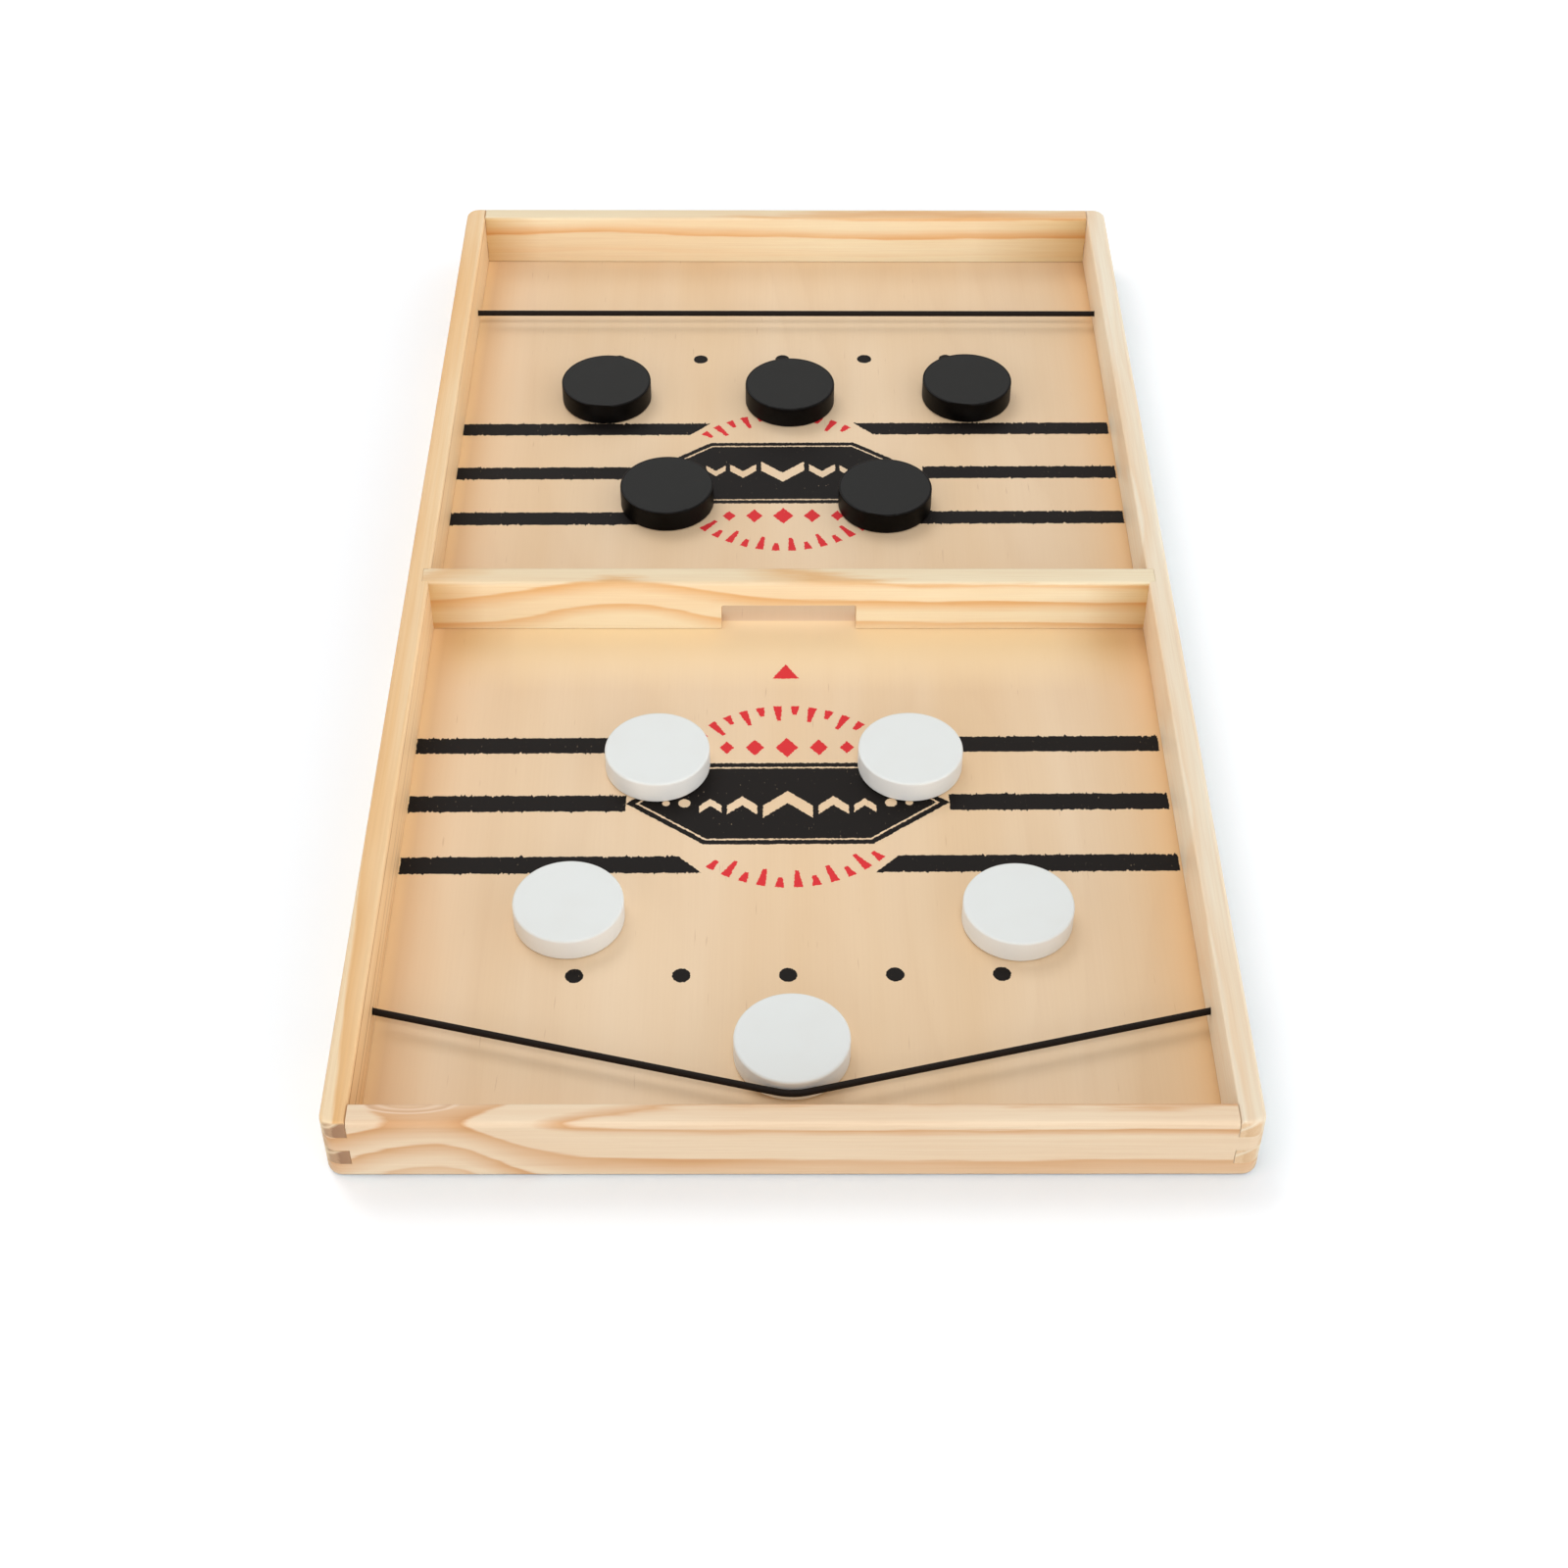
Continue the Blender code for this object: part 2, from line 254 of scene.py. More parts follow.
def makeSky(look):
    # A pale room: brightest low down, where its walls are, and in front, where its window is.
    world = bpy.data.worlds.new("sky")
    bpy.context.scene.world = world
    world.use_nodes = True
    tree = world.node_tree
    direction = joined("SeparateXYZ", {0: addNode(tree, "TexCoord").outputs["Generated"]})
    low = minus(1, maths("MAXIMUM", direction["Z"], 0))
    glow = times(times(low, low), look["skyHorizon"])
    aside, away = look["skyTowards"]
    tilt = plus(times(direction["X"], aside), times(direction["Y"], away))
    glow = times(glow, plus(tilt, 1))
    light = plus(glow, look["skyOverhead"])
    seen = seenWhite(tree)
    strength = plus(seen, times(minus(1, seen), light))
    background = tree.nodes["Background"]
    background.inputs["Color"].default_value = (1, 1, 1, 1)
    tree.links.new(strength, background.inputs["Strength"])


def makeLamp(name, lamp):
    sun = bpy.data.objects.new(name, bpy.data.lights.new(name, "SUN"))
    sun.data.energy = lamp["strength"]
    sun.data.angle = math.radians(lamp["wide"])
    back, left = [math.radians(degrees) for degrees in lamp["lean"]]
    towards = Vector((-math.tan(left), math.tan(back), 1))
    sun.rotation_euler = towards.to_track_quat("Z", "Y").to_euler()
    bpy.context.scene.collection.objects.link(sun)


def makeFloor(look):
    bpy.ops.mesh.primitive_plane_add(size=look["floorSize"], location=(0, 0, -look["floorDrop"]))
    floor = bpy.context.object
    floor.name = "floor"
    material, tree, shader = newMaterial("pale floor")
    seen = seenWhite(tree)
    shade = look["floorShade"]
    towards = addNode(tree, "CombineXYZ", dict(enumerate(look["contactTowards"]))).outputs[0]
    inputs = {"Distance": look["contactReach"], "Normal": towards}
    near = joined("AmbientOcclusion", inputs, samples=look["contactSamples"])
    contact = fromTo(near["AO"], *look["contactOpen"])
    bright = mix(contact, look["contactColour"], look["floorSeen"])
    colour = mix(seen, (shade, shade, shade, 1), bright)
    matt = joined("BsdfDiffuse", {"Color": colour})[0]
    tree.links.new(matt, tree.nodes["Material Output"].inputs["Surface"])
    tree.nodes.remove(shader)
    floor.data.materials.append(material)


bpy.context.scene.view_settings.view_transform = "Standard"
makeCamera(cameraLook)
makeSky(studio)
for lampName, lamp in studio["lamps"].items():
    makeLamp(lampName, lamp)
makeFloor(studio)
print("camera, light and floor are set")


# Wood

pineLook = {
    "fibre": 0.14,
    "fibreColour": linear(190, 138, 92),
    "line": 0.35,              # a thin darker line where a ring stops
    "lineColour": linear(190, 138, 96),
    "wiggleMm": 0.45,          # how far a ring line strays over a short way
    "lineMm": 0.45,            # how soft the hard edge of a ring is
    "rampMm": 100,             # how far out of the log the rings are drawn
    "roughness": 0.5,
    "specular": 0.25,
    "bump": 0.2,
    "bumpMm": 0.1,
    "easedMm": 0.22,           # the rounding of a sawn edge
    "easedJointMm": 0.08,
    "sharpDegrees": 50,        # what counts as an edge
    "flatDegrees": 1.0,
    "weldMm": 0.002,
    # How far the faces inside a glued joint move to close it.
    "closeFingerMm": 0.12,
    "closeShoulderMm": 0.19,
    "closeSlotMm": 0.28,
    "coverMm": 1.2,            # how far the rails reach over the divider's rounded top edges
    "closeFootMm": 0.08,
    "jointNearMm": 0.6,        # how near to a joint's own planes its faces are looked for
    "slotReachMm": 5,
    "paintedCornerShade": (0.8, 0.66, 0.46, 1),  # painted shade, darker and more orange, in the frame's inner corners
    "scoreColour": linear(162, 104, 52),
    "scoreWaveMm": 3.0,        # how far a torn line wanders
    "scoreFadeMm": (-260, 60),  # where along the board it starts and stops changing strength
    "endLean": -0.6,           # the slope of the pale streaks on a sawn end, and how far apart they are
    "endStreakMm": 13.5,
    # The end of a small knot, from its middle to twice its reach: a dark line round it, a pale one inside,
    # and a hair crack.
    "eyePale": linear(238, 214, 190),
    "eyePaleStops": ((0.0, 0.0), (0.28, 0.0), (0.34, 0.55), (0.40, 0.1),
                     (0.48, 0.0), (0.52, 0.7), (0.58, 0.0)),
    "eyeDark": linear(200, 160, 130),
    "eyeDarkStops": ((0.0, 0.25), (0.22, 0.1), (0.25, 0.5), (0.27, 0.1),
                     (0.38, 0.05), (0.46, 0.6), (0.48, 0.05), (0.6, 0.0)),
}

# Each board's log. heart is where its middle lies, across and above the board's own middle, in mm. Each
# ring is where its dark wood stops, in mm from there, how far back it fades, and how strong it is. A hill
# is where a knot near by lifts the rings: its place along the board, how far it lifts them, its reach to
# either side, and what that reach grows by for each mm across and up. drift is how far the log bends, in mm,
# lean how much its rings rise for each mm along it, and seed where its noise starts. endStreak moves the pale
# streaks on the sawn ends, in mm. corners is how far a painted shade reaches from each end into the frame's
# inner corners, in mm, and cornerShadeSide the side it is on, or 0 for both. A score is a torn line along the
# inner side: its height above the middle, half its width, and how strong it is at the near end and the far
# one. An eye is the end of a small knot: its middle, and its reach along the board, across it and up.
boardLooks = {
    "near_end_rail": {
        "grain": "X", "heart": (14, -27), "drift": 1.0, "lean": 0.0, "seed": 3.1, "streaks": 0.16,
        "pale": linear(237, 217, 188), "late": linear(212, 159, 108),
        "end": linear(222, 190, 150), "endLate": linear(202, 160, 116), "endStreak": 0,
        "rings": [(9, 5, 0.6), (18.4, 7, 0.9), (29.1, 9, 0.85), (42.25, 3.2, 0.9), (53, 4, 0.6)],
        "hills": [{"at": -118, "lift": 17.5, "reach": (43, 34.5), "across": 1.67, "up": 0}],
        "corners": (24, 24), "cornerShadeSide": 1,
        "eyes": [((-126, 4.5, 14), (15, 4.2, 5))],
    },
    "far_end_rail": {
        "grain": "X", "heart": (-10, 74), "drift": 1.2, "lean": -0.004, "seed": 7.7, "streaks": 0.1,
        "pale": linear(234, 219, 186), "late": linear(222, 165, 102),
        "end": linear(222, 188, 144), "endLate": linear(202, 158, 112), "endStreak": 3,
        "rings": [(61.2, 4.5, 0.75), (71.2, 5.5, 0.85), (81, 4, 0.15)],
        "hills": [{"at": -85, "lift": -2.4, "reach": (45, 45), "across": 0, "up": 0}],
        "corners": (26, 54), "cornerShadeSide": -1,
    },
    "left_side_rail": {
        "grain": "Y", "heart": (75, 8), "drift": 2.5, "lean": -0.0125, "seed": 12.4, "streaks": 0.4,
        "pale": linear(240, 218, 182), "late": linear(230, 180, 116),
        "end": linear(188, 152, 118), "endLate": linear(158, 121, 92), "endStreak": 34,
        "rings": [(79.5, 14, 0.8), (88, 5, 0.4)],
        "scores": [(11.4, 0.35, 0.9, 0.5), (1.5, 0.35, 0.7, 0.15),
                   (-3.5, 0.3, 0.5, 0.1), (-7.5, 0.3, 0.4, 0.1)],
    },
    "right_side_rail": {
        "grain": "Y", "heart": (62, 4), "drift": 5.5, "lean": -0.006, "seed": 21.9, "streaks": 0.25,
        "pale": linear(237, 226, 204), "late": linear(226, 186, 140),
        "end": linear(226, 196, 158), "endLate": linear(206, 164, 122), "endStreak": 20,
        "rings": [(50, 4, 0.3), (59.5, 4, 0.15), (67.5, 5, 0.4), (76, 4, 0.4)],
    },
    "centre_divider": {
        "grain": "X", "heart": (-8, -42), "drift": 0.8, "lean": 0.0, "seed": 31.3, "streaks": 0.1,
        "pale": linear(236, 223, 192), "late": linear(217, 160, 90),
        "end": linear(220, 186, 142), "endLate": linear(198, 156, 112), "endStreak": 0,
        "rings": [(33.2, 5.5, 0.7), (44.4, 6.0, 0.9), (53.4, 3.2, 0.65), (63, 4, 0.4)],
        "hills": [{"at": -70, "lift": 10.2, "reach": (41, 41), "across": 0, "up": 1.1}],
        "corners": (22, 26), "cornerShadeSide": 0,
    },
}


def ringStops(rings, look):
    # Dark wood comes on slowly towards the bark and stops short.
    soft = look["lineMm"]
    stops = [(0.0, 0.0)]
    for edge, fade, strength in rings:
        shares = ((edge - fade, 0.02), (edge - 0.6 * fade, 0.42), (edge - soft, 1.0), (edge + soft, 0.05))
        stops += [(place / look["rampMm"], share * strength) for place, share in shares]
    return stops


def boardPlace(tree, board, middle):
    # A point of the board in mm from its own middle: along the grain, across it, and up.
    place = addNode(tree, "TexCoord").outputs["Object"]
    moved = joined("VectorMath", {0: place, 1: tuple(middle)}, operation="SUBTRACT")[0]
    inMm = joined("VectorMath", {0: moved, "Scale": 1 / mm}, operation="SCALE")[0]
    axes = joined("SeparateXYZ", {0: inMm})
    along, across = (axes[name] for name in (("X", "Y") if board["grain"] == "X" else ("Y", "X")))
    local = joined("CombineXYZ", {0: along, 1: across, 2: axes["Z"]})[0]
    return {"local": local, "along": along, "across": across, "up": axes["Z"]}


def fromHeart(look, board, place):
    # How far out of the log a point is, in mm, with the log's bends and its knots' hills.
    seed = board["seed"]
    along, across, up = place["along"], place["across"], place["up"]
    slow = grain(place["local"], (0.009, 0.012, 0.012), (seed, seed, 0))
    bend = plus(swing(slow, board["drift"]), times(along, board["lean"]))
    sides = [minus(socket, heart) for socket, heart in zip((across, up), board["heart"])]
    squares = [times(side, side) for side in sides]
    radius = plus(maths("SQRT", plus(*squares)), bend)
    for hill in board.get("hills", ()):
        gap = minus(along, hill["at"])
        before, after = hill["reach"]
        past = maths("GREATER_THAN", gap, 0)
        reach = plus(before, times(past, after - before))
        reach = plus(plus(reach, times(times(past, across), hill["across"])), times(up, hill["up"]))
        share = maths("DIVIDE", gap, reach)
        bell = maths("EXPONENT", times(times(share, share), -1.0))
        radius = minus(radius, times(bell, hill["lift"]))
    stray = grain(place["local"], (0.045, 0.5, 0.5), (seed, 0, 0), 2.0)
    return plus(radius, swing(stray, look["wiggleMm"]))


def withEyes(look, board, place, streaks, colour):
    for centre, reach in board.get("eyes", ()):
        offset = joined("VectorMath", {0: place["local"], 1: centre}, operation="SUBTRACT")[0]
        share = joined("VectorMath", {0: offset, 1: reach}, operation="DIVIDE")[0]
        size = joined("VectorMath", {0: share}, operation="LENGTH")["Value"]
        half = maths("DIVIDE", plus(size, swing(streaks, 0.05)), 2)
        colour = mix(ramp(half, look["eyePaleStops"]), colour, look["eyePale"])
        colour = mix(ramp(half, look["eyeDarkStops"]), colour, look["eyeDark"])
    return colour


def withScores(look, board, place, normal, patchy, fibres, colour):
    # Torn lines along the inner side, broken up by the fibres.
    wave = look["scoreWaveMm"]
    for height, wide, nearShare, farShare in board.get("scores", ()):
        waved = plus(minus(place["up"], height), times(patchy, wave))
        gap = maths("ABSOLUTE", minus(waved, wave / 2))
        line = times(fromTo(gap, wide, 2 * wide, 1.0, 0.0), fromTo(fibres, 0.35, 0.5))
        line = times(line, fromTo(place["along"], *look["scoreFadeMm"], nearShare, farShare))
        inner = maths("GREATER_THAN", normal["X"], 0.5)
        colour = mix(times(line, inner), colour, look["scoreColour"])
    return colour


def withPaintedCornerShade(look, board, place, normal, colour):
    # Painted shade: the faces along the board are darkened towards the frame's inside corners.
    wallMm = fieldCorner.x / mm
    left, right = board["corners"]
    deep = plus(fromTo(place["along"], -wallMm, left - wallMm, 1.0, 0.0),
                fromTo(place["along"], wallMm - right, wallMm))
    facing = times(normal["Y"], board["cornerShadeSide"] or normal["Y"])
    deep = times(deep, fromTo(facing, 0.3, 0.8))
    return mix(deep, colour, look["paintedCornerShade"], "MULTIPLY")


def withEnds(look, board, place, normal, late, colour):
    # Sawn ends, with the rings across them and pale streaks that slope.
    ends = mix(times(late, 1.2), board["end"], board["endLate"])
    pores = grain(place["local"], (0.5, 1.5, 1.5), detail=2.0)
    ends = mix(fromTo(pores, 0.4, 0.7, 0.0, 0.3), ends, board["endLate"])
    slant = plus(times(place["across"], look["endLean"]), place["up"])
    slant = maths("DIVIDE", plus(slant, board["endStreak"]), look["endStreakMm"])
    streak = ramp(maths("FRACT", slant), ((0.38, 0.0), (0.46, 0.7), (0.55, 0.0)))
    ends = mix(streak, ends, board["pale"])
    endOn = maths("ABSOLUTE", normal[board["grain"]])
    return mix(fromTo(endOn, 0.55, 0.8), colour, ends)


def pineMaterial(name, look, board, middle):
    material, tree, shader = newMaterial(name)
    place = boardPlace(tree, board, middle)
    local, seed = place["local"], board["seed"]
    radius = fromHeart(look, board, place)
    late = ramp(maths("DIVIDE", radius, look["rampMm"]), ringStops(board["rings"], look))
    patchy = grain(local, (0.012, 0.06, 0.06), (0, seed, seed))
    late = times(late, fromTo(patchy, 0.3, 0.7, 0.72, 1.15))

    # Fibres, streaks along the grain, and broad changes of tone.
    fibres = grain(local, (0.03, 1.6, 1.6), (0, seed, 0), 3.0, roughness=0.6)
    streaks = grain(local, (0.006, 0.42, 0.42), (seed, 0, seed), 2.0)
    tone = grain(local, (0.009, 0.03, 0.03), (0, 0, seed))
    colour = mix(late, board["pale"], board["late"])
    hard = times(maths("POWER", late, 5), look["line"])
    colour = mix(hard, colour, look["lineColour"])
    colour = mix(fromTo(tone, 0.35, 0.7, 0.0, 0.22), colour, board["late"])
    colour = mix(fromTo(streaks, 0.5, 0.75, 0.0, board["streaks"]), colour, board["late"])
    colour = mix(fromTo(fibres, 0.4, 0.75, 0.0, look["fibre"]), colour, look["fibreColour"])

    normal = faceNormal(tree)
    colour = withEyes(look, board, place, streaks, colour)
    colour = withScores(look, board, place, normal, patchy, fibres, colour)
    if "corners" in board:
        colour = withPaintedCornerShade(look, board, place, normal, colour)
    colour = withEnds(look, board, place, normal, late, colour)
    height = plus(times(fibres, 0.6), times(late, 0.4))
    finishShader(tree, shader, look, colour, height)
    return material


plywoodLook = {
    "pale": linear(240, 214, 181),
    "dark": linear(234, 203, 164),
    "paintedWallShade": linear(227, 184, 132),   # painted shade, deeper and yellower, along the side walls
    "paintedWallShadeMm": 26,
    "foot": linear(252, 218, 168),     # and painted light, paler again, right at the left one's foot
    "paintedFootLightMm": 5,
    # In front of the divider it is paler in the middle, a painted pool of light, and deeper at the ends, a painted
    # shade.
    "paintedDividerLight": linear(255, 229, 184),
    "paintedDividerLightMm": (8, 38),
    # From the side walls: where the painted light in the middle starts to fade and ends, and where the painted
    # shade in the corners does.
    "paintedLightFadeMm": (38, 8),
    "paintedShadeFadeMm": (34, 12),
    "paintedCornerShade": (0.93, 0.86, 0.68, 1),
    "fibre": linear(198, 152, 108),
    "speck": linear(178, 128, 88),
    "roughness": 0.45,
    "specular": 0.25,
    "bump": 0.06,
    "bumpMm": 0.06,
}


def plywoodColour(tree, look):
    # The veneer's grain runs down the board: soft bands, fine fibres, and a few short dark pores.
    place = addNode(tree, "TexCoord").outputs["Object"]
    bands = grain(place, (22, 2.2, 1), detail=3.0, roughness=0.55)
    figure = grain(place, (7, 1.4, 1), (3.7, 1.9, 0), 1.5)
    rings = maths("FRACT", times(figure, 12.0))
    rings = ramp(rings, ((0.0, 0.4), (0.12, 0.0), (0.6, 0.2), (0.95, 1.0), (1.0, 0.5)))
    fibres = grain(place, (1300, 18, 1), detail=3.0, roughness=0.65)
    pores = grain(place, (900, 60, 1), (0, 7, 0))
    colour = mix(fromTo(bands, 0.32, 0.68), look["pale"], look["dark"])
    colour = mix(times(rings, 0.06), colour, look["fibre"])
    colour = mix(fromTo(fibres, 0.4, 0.75, 0.0, 0.05), colour, look["fibre"])
    colour = mix(fromTo(pores, 0.74, 0.8, 0.0, 0.3), colour, look["speck"])
    axes = joined("SeparateXYZ", {0: place})
    aside = maths("ABSOLUTE", axes["X"])
    wall = fieldCorner.x
    # Painted light in front of the divider's middle, and painted shade in the corners beside it.
    start, end = (-dividerHalf - reach * mm for reach in look["paintedDividerLightMm"])
    before = times(fromTo(axes["Y"], end, start), maths("LESS_THAN", axes["Y"], 0))
    first, last = (wall - reach * mm for reach in look["paintedLightFadeMm"])
    middle = times(before, fromTo(aside, first, last, 0.9, 0.0))
    colour = mix(middle, colour, look["paintedDividerLight"])
    first, last = (wall - reach * mm for reach in look["paintedShadeFadeMm"])
    corner = times(before, fromTo(aside, first, last))
    colour = mix(corner, colour, look["paintedCornerShade"], "MULTIPLY")
    # Painted shade along the side walls.
    near = fromTo(aside, wall - look["paintedWallShadeMm"] * mm, wall)
    near = times(times(near, near), 0.85)
    colour = mix(near, colour, look["paintedWallShade"])
    # Painted light: paler right at the left wall's foot.
    foot = fromTo(axes["X"], look["paintedFootLightMm"] * mm - wall, -wall, 0.0, 0.85)
    colour = mix(foot, colour, look["foot"])
    return colour, fibres


def plywoodMaterial(name, look):
    material, tree, shader = newMaterial(name)
    colour, fibres = plywoodColour(tree, look)
    finishShader(tree, shader, look, colour, fibres)
    return material


def glueStep(face, look):
    # How far this face moves to close a glued joint: on the base, in the divider's slot, or in a corner.
    centre, normal = face.calc_center_median(), face.normal
    near = look["jointNearMm"] * mm
    across, away = abs(centre.x), abs(centre.y)
    if max(abs(part) for part in normal) < 0.999:
        return 0
    if normal.z < -0.5 and near < centre.z < fieldCorner.z + near:
        return look["closeFootMm"] * mm
    slotEnd = fieldCorner.x + look["slotReachMm"] * mm
    inSlot = fieldCorner.x + near / 4 < across < slotEnd and away < dividerHalf + near
    if inSlot and centre.z > fieldCorner.z and abs(normal.z) < 0.5 and normal.x * centre.x < near:
        return (look["closeSlotMm"] + look["coverMm"] * abs(round(normal.y))) * mm
    outward = max(normal.x * centre.x / cadBox[1].x, normal.y * centre.y / cadBox[1].y)
    inCorner = across > fieldCorner.x - near and away > fieldCorner.y - near
    if inCorner and near < centre.z < boardTop - near / 2 and outward < 0.99:
        shoulder = across < fieldCorner.x or away < fieldCorner.y
        return look["closeShoulderMm" if shoulder else "closeFingerMm"] * mm
    return 0


def refined(nodeName, material, slot, look):
    # The CAD board with its glued joints closed and its sawn edges eased, so that they catch the light.
    bm = bmesh.new()
    bm.from_mesh(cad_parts[nodeName].data)
    bmesh.ops.remove_doubles(bm, verts=bm.verts, dist=look["weldMm"] * mm)
    flat = math.radians(look["flatDegrees"])
    bmesh.ops.dissolve_limit(
        bm, angle_limit=flat, verts=bm.verts, edges=bm.edges, use_dissolve_boundaries=False)
    glued = [face for face in bm.faces if glueStep(face, look)]
    moves = {(corner, tuple(round(part) for part in face.normal), glueStep(face, look))
             for face in glued for corner in face.verts}
    gluedEdges = {edge for face in glued for edge in face.edges}
    for corner, direction, step in moves:
        corner.co += Vector(direction) * step
    weight = bm.edges.layers.float.new("bevel_weight_edge")
    for edge in bm.edges:
        if len(edge.link_faces) == 2 and edge.calc_face_angle() > math.radians(look["sharpDegrees"]):
            edge[weight] = look["easedJointMm"] / look["easedMm"] if edge in gluedEdges else 1.0
    mesh = finishMesh(bm, nodeName + "_finish", 180)
    piece = newPiece(nodeName + "_finish", mesh, "frame", slot, material, nodeName)
    eased = piece.modifiers.new("eased edges", "BEVEL")
    eased.limit_method = "WEIGHT"
    eased.width = look["easedMm"] * mm
    eased.segments = 2
    piece.modifiers.new("flat faces", "WEIGHTED_NORMAL")


for nodeName, board in boardLooks.items():
    low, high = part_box(nodeName)
    material = pineMaterial(nodeName + " pine", pineLook, board, (low + high) / 2)
    slot = "pine_divider" if nodeName == "centre_divider" else "pine_rails"
    refined(nodeName, material, slot, pineLook)
refined("base_board", plywoodMaterial("floor plywood", plywoodLook), "plywood_floor", pineLook)
print("boards are finished")


# Print on the floor

printLook = {
    "thicknessMm": 0.06,
    "roughness": 0.6,
    "specular": 0.12,
    "bump": 0.2,
    "bumpMm": 0.06,
    "weldMm": 0.001,
    "shiftMm": (-1.5, -3.05),  # the screen lay a little off the board's middle, and a little turned
    "turnDegrees": 0.35,
    "raggedMm": 0.22,          # how far an edge strays, as ink does on open grain
    "stepMm": 0.45,
    "hairMm": 0.95,            # and how far it runs along a pore, here and there on the stripes
    "hairShare": 0.16,
    "hairEdgeMm": 70,          # on edges longer than this
    "black": linear(21, 17, 15),
    "red": linear(224, 54, 59),
    "stripeRowsMm": (71.5, 103.7, 136.2),
    "stripeWideMm": 8.6,
    "stripeEndsMm": {"near": (144.8, 145.7), "far": (145.2, 147.5)},  # on the board's left and right
    "dotRowMm": 191.0,
    "dotStepMm": 38.2,
    "dotAsideMm": -0.75,
    "dotWideMm": 6.6,
    "dotSteps": 24,
    "arrowTipMm": 24.05,
    "arrowFootMm": 32.7,
    "arrowWideMm": 10.8,
    "badgeMiddleMm": 103.8,
    "badgeReachMm": 62.0,
    "badgeHalfMm": 22.0,
    "badgeFlatMm": 32.0,       # half of the badge's straight top and bottom
    "badgeGapMm": 3.4,         # bare wood between the badge and the stripes
    "badgeInsetsMm": (0, 2.2, 3.0),  # its edge, and the edges of the bare line inside it
    # Chevrons, each with its place, width, height and thickness, and beads with place, radius and steps. The
    # places are from the badge's middle, and all but the middle chevron stand on both sides.
    "chevronMm": (-2.5, 19, 8, 6.5),
    "chevronsMm": ((17.5, -1.2, 11.5, 5, 4.8), (29.5, -0.5, 8.5, 3.8, 3.8)),
    "beadsMm": ((39.5, 2.3, 20), (46.5, 1.5, 16)),
    "sunMiddleMm": 98.6,
    "sunLongMm": (41.0, 49.6),  # where a long ray starts and ends, from the sun's middle
    "sunShortMm": (44.5, 49.6),
    "sunRays": 44,
    "sunShare": 0.5,           # of the rim that the rays take
    "gemRowMm": 73.0,
    "gemsMm": ((0, 11.0), (12.5, 9.0), (23.5, 7.0)),  # how far to each side, and how high
    "gemWidth": 0.8,           # for its height
}


def inkMaterial(name, colour, look):
    # Ink with the veneer's grain showing through in a few fine flecks.
    material, tree, shader = newMaterial(name)
    wood, fibres = plywoodColour(tree, plywoodLook)
    place = addNode(tree, "TexCoord").outputs["Object"]
    flecks = grain(place, (1500, 420, 1), detail=2.0, roughness=0.6)
    thin = grain(place, (60, 40, 1), (4, 4, 0), 2.0)
    bare = times(fromTo(flecks, 0.7, 0.78, 0.0, 0.75), fromTo(thin, 0.4, 0.7, 0.15, 1.0))
    finishShader(tree, shader, look, mix(bare, colour, wood), fibres)
    return material


def ragged(corners, dice, look):
    # A closed outline with its edges cut into short steps that stray a little to either side.
    points = []
    for start, end in zip(corners, corners[1:] + corners[:1]):
        start, end = Vector(start), Vector(end)
        steps = max(1, round((end - start).length / look["stepMm"]))
        aside = Vector((start.y - end.y, end.x - start.x)).normalized() * look["raggedMm"]
        hairShare = look["hairShare"] if steps * look["stepMm"] > look["hairEdgeMm"] else 0
        points.append(start)
        for step in range(1, steps):
            reach = look["hairMm"] / look["raggedMm"] if dice.random() < hairShare else 1
            points.append(start.lerp(end, step / steps) + aside * dice.uniform(-1, 1) * reach)
    return points


def layOut(across, away, look):
    # From the print's own middle, in mm, to the board.
    turn = math.radians(look["turnDegrees"])
    right, down = look["shiftMm"]
    return ((right + across * math.cos(turn) - away * math.sin(turn)) * mm,
            (down + across * math.sin(turn) + away * math.cos(turn)) * mm)


def printed(name, outlines, half, material, look):
    # half is -1 on the near side and 1 on the far side, which carries the same print turned half round.
    dice = random.Random(name)
    curve = bpy.data.curves.new(name, "CURVE")
    curve.dimensions = "2D"
    curve.fill_mode = "BOTH"
    curve.extrude = look["thicknessMm"] * mm / 2
    for outline in outlines:
        points = ragged(outline, dice, look)
        spline = curve.splines.new("POLY")
        spline.points.add(len(points) - 1)
        spline.use_cyclic_u = True
        for point, (across, away) in zip(spline.points, points):
            point.co = (*layOut(-half * across, half * away, look), 0, 1)
    flat = bpy.data.objects.new(name + "_outline", curve)
    bpy.context.scene.collection.objects.link(flat)
    mesh = bpy.data.meshes.new_from_object(flat.evaluated_get(bpy.context.evaluated_depsgraph_get()))
    bpy.data.objects.remove(flat)
    bm = bmesh.new()
    bm.from_mesh(mesh)
    bmesh.ops.remove_doubles(bm, verts=bm.verts, dist=look["weldMm"] * mm)
    bmesh.ops.translate(bm, verts=bm.verts, vec=(0, 0, fieldCorner.z))
    newPiece(name, finishMesh(bm, name), "frame", "plywood_floor", material)


def badgeSlope(look):
    return (look["badgeReachMm"] - look["badgeFlatMm"]) / look["badgeHalfMm"]


def badgeEdge(look, away, gap):
    # Where the badge's outline, grown by gap, stands at this distance from the gate.
    rise = abs(away - look["badgeMiddleMm"])
    slope = badgeSlope(look)
    return look["badgeReachMm"] + gap * math.hypot(1, slope) - rise * slope


